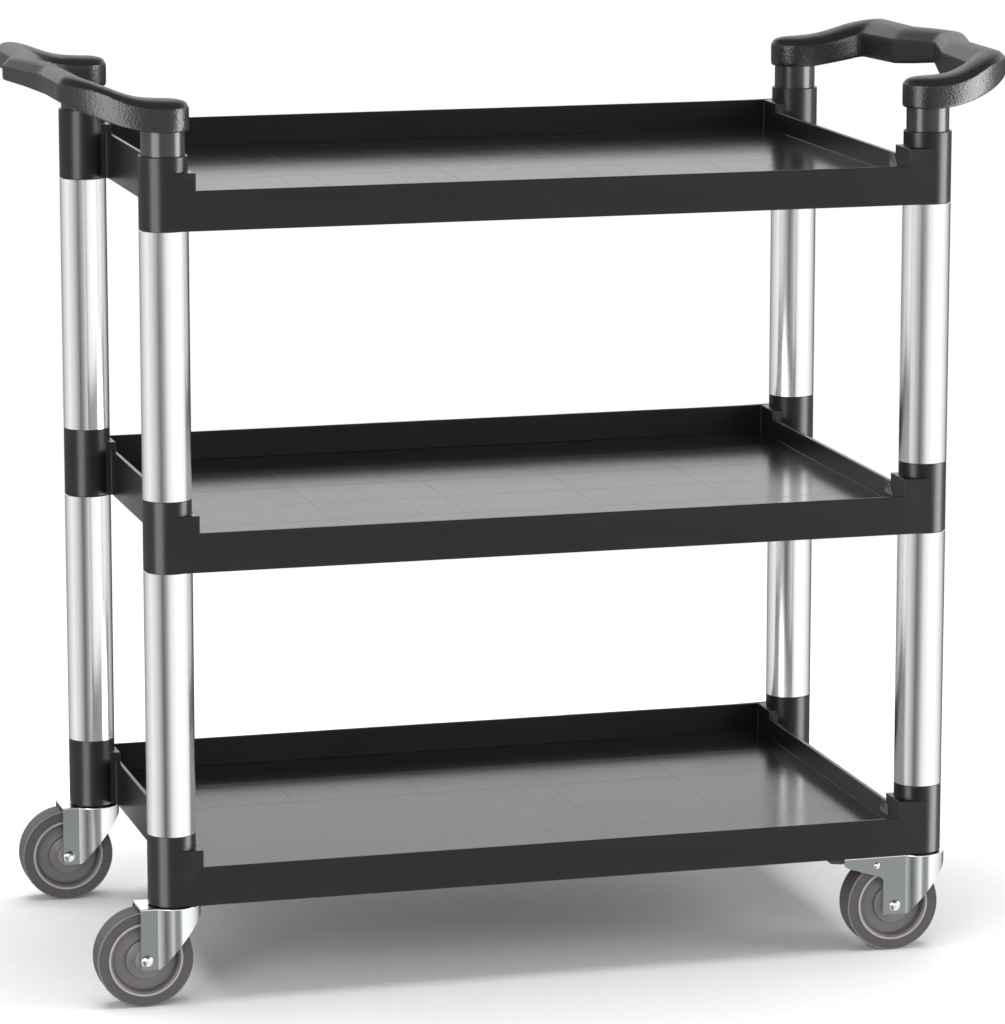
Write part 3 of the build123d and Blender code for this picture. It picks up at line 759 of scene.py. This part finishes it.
# painted shade: the flat faces of the legs, picked out by their facing, get a dark base colour
# that stands in for the darker reflections they catch; the nose keeps the bright plated tone
shape = add(tree, "ShaderNodeTexCoord")
facing = add(tree, "ShaderNodeSeparateXYZ")
join(tree, shape.outputs["Normal"], facing.inputs["Vector"])
painted_leg_shade = ranged(tree, sum_of(tree, facing.outputs["Y"], 0, "ABSOLUTE"), 0.985, 0.998)
plated = shader.inputs["Base Color"].links[0].from_socket
join(tree, mixed(tree, painted_leg_shade, plated, (0.235, 0.25, 0.25)), shader.inputs["Base Color"])
sheet, crown_top, leg_bottom, nose_bottom = 0.0025, 0.1045, 0.0405, 0.095
leg_face, nose_radius, bend, foot_front, edge_break = 0.0215, 0.029, 0.0012, -0.018, 0.0004
leg_back, braked_leg_back, arm_low = -0.0372, -0.044, 0.0765
# the brake arm's lower edge: distance behind the stem, height
arm_line = ((-0.044, 0.0765), (-0.0447, 0.0792), (-0.0465, 0.0812), (-0.0490, 0.0825),
            (-0.0600, 0.0861), (-0.0720, 0.0900), (-0.0840, 0.0939), (-0.0868, 0.0960),
            (-0.0880, 0.0985))


def fork_stations(back):
    """Outer and inner points of the pressing's side, with the outward normal at each."""
    inner_face, inner_radius = leg_face - sheet, nose_radius - sheet
    crease_out = math.asin(leg_face / nose_radius)
    crease_in = math.asin(inner_face / inner_radius)
    stations = []
    for share in (0, 0.3, 0.7):
        out_x = back + (-nose_radius * math.cos(crease_out) - back) * share
        in_x = back + (-inner_radius * math.cos(crease_in) - back) * share
        stations.append((Vector((out_x, leg_face)), Vector((in_x, inner_face)), Vector((0, 1))))
    steps = 28
    for step in range(steps + 1):
        turn_out = math.pi - crease_out - (math.pi - crease_out) * step / steps
        turn_in = math.pi - crease_in - (math.pi - crease_in) * step / steps
        normal = Vector((math.cos(turn_out), math.sin(turn_out)))
        inside = Vector((math.cos(turn_in), math.sin(turn_in))) * inner_radius
        stations.append((normal * nose_radius, inside, normal))
    return stations


def lower_edge(x):
    """The slanting lower edge of the nose; the leg's foot is level."""
    rise = (nose_bottom - leg_bottom) / (nose_radius - foot_front)
    return leg_bottom + max(0, x - foot_front) * rise


def fork_mesh(braked, post, name):
    """One pressing: a closed sheet shape, mirrored about the wheel's middle plane."""
    made = bmesh.new()

    def side_points(out, into, normal, foot):
        """One cut through the side: inner wall, lower edge, outer wall and the bend at the top."""
        toward = (out - into).normalized() * edge_break
        waist = max(foot + 2 * edge_break, arm_low + edge_break)
        return [
            (*into, crown_top), (*into, crown_top - sheet), (*into, waist),
            (*into, foot + edge_break), (*(into + toward), foot), (*(out - toward), foot),
            (*out, foot + edge_break), (*out, waist),
            (*out, crown_top - bend), (*(out - normal * bend * 0.3), crown_top - bend * 0.3),
            (*(out - normal * bend), crown_top),
        ]

    stations = fork_stations(braked_leg_back if braked else leg_back)
    for mirror in (1, -1):
        def vertex(point):
            return made.verts.new((post.x + point[0], post.y + mirror * point[1], point[2]))

        def joined(first, second, ring=False):
            count = len(first)
            for step in range(count if ring else count - 1):
                after = (step + 1) % count
                made.faces.new((first[step], first[after], second[after], second[step]))

        columns = []
        for out, into, normal in stations:
            side = side_points(out, into, normal, lower_edge(out.x))
            below = (into.x, 0, crown_top - sheet)
            above = (into.x, 0, crown_top)
            columns.append([vertex(p) for p in (below, *side[1:], side[0], above)])
        for first, second in zip(columns, columns[1:]):
            joined(first, second)
        start = columns[0]
        made.faces.new([start[0], start[1], start[11], start[12]])
        if not braked:
            made.faces.new(start[1:12])
            continue
        # the arm runs back from the leg, its lower edge rising, and carries the brake's rivet
        arm = []
        for x, foot in arm_line:
            out, into = Vector((x, leg_face)), Vector((x, leg_face - sheet))
            side = side_points(out, into, Vector((0, 1)), foot)
            arm.append([vertex(side[k]) for k in (0, 1, 3, 4, 5, 6, 8, 9, 10)])
        for first, second in zip(arm, arm[1:]):
            joined(first, second, ring=True)
        made.faces.new(arm[-1])
        made.faces.new([*start[2:8], arm[0][4], arm[0][3]])
    bmesh.ops.remove_doubles(made, verts=made.verts, dist=1e-5)
    bmesh.ops.dissolve_degenerate(made, edges=made.edges, dist=1e-6)
    bmesh.ops.recalc_face_normals(made, faces=made.faces)
    return finished(made, name, 35)


for corner in corners:
    low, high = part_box(f"{corner}_stem")
    mesh = fork_mesh(corner.startswith("right"), (low + high) / 2, f"{corner}_fork_shape")
    evenly_shaded(show(f"{corner}_fork_pressing", mesh, f"{corner}_swivel", fork_steel,
                       "fork_steel", f"{corner}_fork"))


# Casters, stems: turned steel, pressed into the collar above and riveted over below the crown.
fastener_steel = metal_of(
    "fastener_steel", (0.66, 0.67, 0.69), (0.74, 0.74, 0.75), 0.16, 0.03, (400.0, 400.0, 400.0), 0.04,
    scratches=0.05, dust_amount=0.01,
)
bearing_steel = metal_of(
    "bearing_steel", (0.62, 0.62, 0.64), (0.70, 0.70, 0.71), 0.12, 0.03, (300.0, 300.0, 300.0), 0.05,
    scratches=0.1, dust_amount=0.0,
)
millimetre = 0.001


def poured(made, target):
    """Move one made shape into another, so that several become one piece."""
    part = bpy.data.meshes.new("part")
    made.to_mesh(part)
    made.free()
    target.from_mesh(part)
    bpy.data.meshes.remove(part)


def scaled(profile):
    """A profile given in millimetres, in metres."""
    return [(radius * millimetre, along * millimetre) for radius, along in profile]


stem_profile = scaled((
    (0, 98.7), (5.4, 98.7), (7.4, 99.3), (8.0, 100.2), (8.0, 101.5), (7.7, 101.7), (5.5, 101.7),
    (5.5, 106), (5.5, 140), (5.5, 159.0), (4.5, 160.0), (0, 160.0),
))
for corner in corners:
    low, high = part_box(f"{corner}_stem")
    middle = (low + high) / 2
    shape = turned(stem_profile, (middle.x, middle.y, 0), segments=48)
    show(f"{corner}_stem_rivet", finished(shape, f"{corner}_stem_shape"), "cart", fastener_steel,
         "fastener_steel", f"{corner}_stem")


# Casters, bearings: a ring of fourteen hardened balls under a grooved race in the collar.
ball_radius, ball_ring, ball_count, ball_height = 0.0022, 0.0125, 14, 0.1057
race_bottom, race_top, race_radius, race_bore = 0.1064, 0.1110, 0.0180, 0.0055
for corner in corners:
    low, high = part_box(f"{corner}_upper_race")
    middle = (low + high) / 2
    groove_radius = ball_radius + 0.0003
    groove_half = math.sqrt(groove_radius ** 2 - (race_bottom - ball_height) ** 2)
    groove = []
    for step in range(9):
        across = -groove_half + 2 * groove_half * step / 8
        depth = math.sqrt(max(groove_radius ** 2 - across ** 2, 0))
        groove.append((ball_ring + across, ball_height + depth))
    profile = [(race_bore, race_bottom), *groove, (race_radius - 0.0004, race_bottom),
               (race_radius, race_bottom + 0.0004), (race_radius, race_top - 0.0004),
               (race_radius - 0.0004, race_top), (race_bore, race_top)]
    shape = turned(profile, (middle.x, middle.y, 0), segments=72, closed=True)
    show(f"{corner}_race_ring", finished(shape, f"{corner}_race_shape"), "cart", bearing_steel,
         "bearing_steel", f"{corner}_upper_race")
    balls = bmesh.new()
    for count in range(ball_count):
        angle = math.tau * count / ball_count
        centre = Vector((middle.x + ball_ring * math.cos(angle),
                         middle.y + ball_ring * math.sin(angle), ball_height))
        arc = [(ball_radius * math.sin(math.pi * s / 12), -ball_radius * math.cos(math.pi * s / 12))
               for s in range(13)]
        poured(turned(arc, centre, segments=20), balls)
    show(f"{corner}_ball_ring", finished(balls, f"{corner}_ball_shape", 80),
         f"{corner}_swivel", bearing_steel, "bearing_steel", f"{corner}_bearing_balls")


# Casters, wheels: a centre in grey-mauve nylon with a raised seat ring, a dished web and a stepped
# hub, under a grey rubber tread moulded on to it with a fine flash line at each shoulder. The seat
# ring and the flash lines are painted lighter as painted highlights, and the hub step and the foot
# of the seat ring darker as painted shade.
# the core's light edge tint, in the seat ring's tone, is edge wear and painted highlight on the rounded
# edges
wheel_plastic = finish_of(
    "wheel_plastic", (0.130, 0.120, 0.130), (0.155, 0.145, 0.155), 0.36, 0.04, bump=0.08,
    grain_size=0.0009, scratches=0.08, dust_amount=0.02, edge=(1.2, (0.42, 0.38, 0.41)),
)
# the tread's light edge tint, in the flash line's tone, is edge wear and painted highlight on the rounded
# edges
tread_rubber = finish_of(
    "tread_rubber", (0.066, 0.060, 0.061), (0.084, 0.077, 0.078), 0.50, 0.05, bump=0.2,
    grain_size=0.0007, scratches=0.1, dust_amount=0.03, edge=(0.8, (0.26, 0.24, 0.24)),
    specular=0.4,
)


def ringed(material, reach, bands):
    """Tint a wheel's finish in rings (painted highlights, painted shade and dark seams): (inner radius,
    outer radius, colour, strength), from reach, the radius of the whole piece. All in millimetres."""
    tree = material.node_tree
    shader = tree.nodes["Principled BSDF"]
    place = add(tree, "ShaderNodeTexCoord")
    centred = add(tree, "ShaderNodeVectorMath")
    centred.operation = "MULTIPLY_ADD"
    centred.inputs[1].default_value = (2 * reach, 0, 2 * reach)
    centred.inputs[2].default_value = (-reach, 0, -reach)
    join(tree, place.outputs["Generated"], centred.inputs[0])
    radius = add(tree, "ShaderNodeVectorMath")
    radius.operation = "LENGTH"
    join(tree, centred.outputs["Vector"], radius.inputs[0])
    for inner, outer, colour, strength in bands:
        off = sum_of(tree, radius.outputs["Value"], (inner + outer) / 2, "SUBTRACT")
        off = sum_of(tree, off, 0, "ABSOLUTE")
        half, soft_edge = (outer - inner) / 2, 0.15
        ring = ranged(tree, off, half + soft_edge, half - soft_edge, 0.0, strength, smooth=True)
        before = shader.inputs["Base Color"].links[0].from_socket
        join(tree, mixed(tree, ring, before, colour), shader.inputs["Base Color"])


# painted highlight on the top of the seat ring; painted shade in the hub step and where the dish rises to
# the seat ring
seat_ring_highlight_paint, groove_shade_paint = (0.40, 0.365, 0.39), (0.09, 0.08, 0.09)
ringed(wheel_plastic, 39.0, ((36.7, 38.3, seat_ring_highlight_paint, 0.9), (20.2, 21.4, groove_shade_paint, 0.6),
                             (32.0, 34.6, groove_shade_paint, 0.5)))
# painted highlight: a light band on the flash line at each shoulder; the dark band at the core's edge is
# the seam between core and tread
flash_line_highlight_paint, seam_dark = (0.26, 0.24, 0.24), (0.03, 0.03, 0.03)
ringed(tread_rubber, 50.0, ((48.9, 49.75, flash_line_highlight_paint, 0.7), (38.5, 39.6, seam_dark, 0.8)))
core_half = (
    (6.05, 17.2), (6.4, 17.5), (11.4, 17.5), (12.0, 17.1), (12.5, 14.6), (13.2, 14.2), (19.6, 13.4),
    (20.4, 12.8), (21.0, 9.4), (22.0, 8.9), (31.4, 7.1), (32.6, 7.4), (34.0, 13.2), (34.8, 14.6),
    (36.0, 15.3), (36.5, 15.5), (38.6, 15.5), (39.0, 15.1),
)
tread_half = (
    (39.0, 14.5), (39.4, 14.6), (44.0, 14.6), (47.8, 14.4), (48.3, 14.5), (48.8, 14.9), (49.3, 15.0),
    (49.7, 14.7), (49.6, 14.2), (49.2, 13.9), (49.6, 13.4), (49.9, 12.6), (50.0, 11.0), (50.0, 6.0),
)
for corner in corners:
    pieces = (("wheel_core", core_half, wheel_plastic, "wheel_plastic"),
              ("tyre", tread_half, tread_rubber, "tread_rubber"))
    for part, half_profile, material, slot_name in pieces:
        low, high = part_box(f"{corner}_{part}")
        middle = (low + high) / 2
        mirrored = tuple((radius, -along) for radius, along in reversed(half_profile))
        shape = turned(scaled(half_profile + mirrored), middle, "Y", segments=128, closed=True)
        show(f"{corner}_{part}_moulding", finished(shape, f"{corner}_{part}_shape", 30),
             f"{corner}_wheel", material, slot_name, f"{corner}_{part}")


# Casters, axles: a domed bolt head at the front, a nut at the back with the thread standing out of
# it, and a plain spacer tube between the legs on which the wheel turns.
head_profile = (
    (0, -25.1), (2.2, -24.95), (4.2, -24.3), (5.6, -23.2), (6.4, -22.3), (6.4, -21.8), (6.1, -21.5),
    (4.0, -21.5), (4.0, 21.0),
)
thread_start, thread_pitch, thread_radius, thread_root = 21.6, 0.75, 4.0, 3.65
thread_profile = []
for turn_count in range(6):
    along = thread_start + thread_pitch * turn_count
    thread_profile += [(thread_radius, along), (thread_root, along + thread_pitch / 2)]
head_profile += (*thread_profile, (3.5, 26.3), (3.2, 26.5), (0, 26.5))
for corner in corners:
    low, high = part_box(f"{corner}_axle_bush")
    middle = (low + high) / 2
    shape = turned(scaled(head_profile), middle, axis="Y", segments=48)
    show(f"{corner}_axle_bolt", finished(shape, f"{corner}_axle_shape"), f"{corner}_swivel",
         fastener_steel, "fastener_steel", f"{corner}_axle")
    bush = scaled(((4.0, -19.0), (5.8, -19.0), (6.0, -18.8), (6.0, 18.8), (5.8, 19.0), (4.0, 19.0)))
    shape = turned(bush, middle, axis="Y", segments=48, closed=True)
    show(f"{corner}_axle_spacer", finished(shape, f"{corner}_bush_shape"), f"{corner}_swivel",
         bearing_steel, "bearing_steel", f"{corner}_axle_bush")
    shape = softened(f"{corner}_axle_nut", 0.0002, cuts_x=(middle.x,))
    evenly_shaded(show(f"{corner}_axle_locknut", shape, f"{corner}_swivel", fastener_steel,
                       "fastener_steel", f"{corner}_axle_nut"))


# Brakes, on the right-hand casters: two rivets through the fork's arms and a black moulded pedal
# that presses its pad on the tread.
pedal_plastic = finish_of(
    "pedal_plastic", (0.014, 0.014, 0.015), (0.020, 0.020, 0.021), 0.36, 0.06, bump=0.25,
    grain_size=0.0010, scratches=0.2, dust_amount=0.08,
)
rivet_half = ((0, 23.3), (1.6, 23.2), (2.8, 22.7), (3.5, 21.9), (3.7, 21.5), (2.5, 21.5), (2.5, 16.4),
              (0, 16.4))
for corner in ("right_front", "right_rear"):
    low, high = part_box(f"{corner}_brake_pins")
    middle = (low + high) / 2
    rivets = bmesh.new()
    for side in (-1, 1):
        profile = scaled([(radius, side * along) for radius, along in rivet_half])
        poured(turned(profile, middle, axis="Y", segments=32), rivets)
    show(f"{corner}_brake_rivets", finished(rivets, f"{corner}_rivet_shape"), f"{corner}_swivel",
         fastener_steel, "fastener_steel", f"{corner}_brake_pins")
    shape = softened(f"{corner}_brake_pedal", 0.0005, cuts_x=(middle.x,))
    evenly_shaded(show(f"{corner}_brake_lever", shape, f"{corner}_brake", pedal_plastic,
                       "pedal_plastic", f"{corner}_brake_pedal"))


# Two tall strip lights with soft boxes, flagged off the metal, draw the upright highlights on the
# black collars and handles.
black_pieces = bpy.data.collections.new("black_pieces")
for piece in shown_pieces():
    if piece.get("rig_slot") in ("shelf_plastic", "handle_plastic", "stub_tube"):
        black_pieces.objects.link(piece)
strips = (
    ("left_strip", (-1.45, -1.05), 0.95, 98),
    ("right_strip", (2.10, -1.00), 1.35, 215),
)
for name, (x, y), width, watts in strips:
    lamp = soft_light(name, (x, y, 0.2), (0.4 if x > 0 else -0.4, -0.2, 0.2), width, 2.6, watts)
    lamp.light_linking.receiver_collection = black_pieces


low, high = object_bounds()
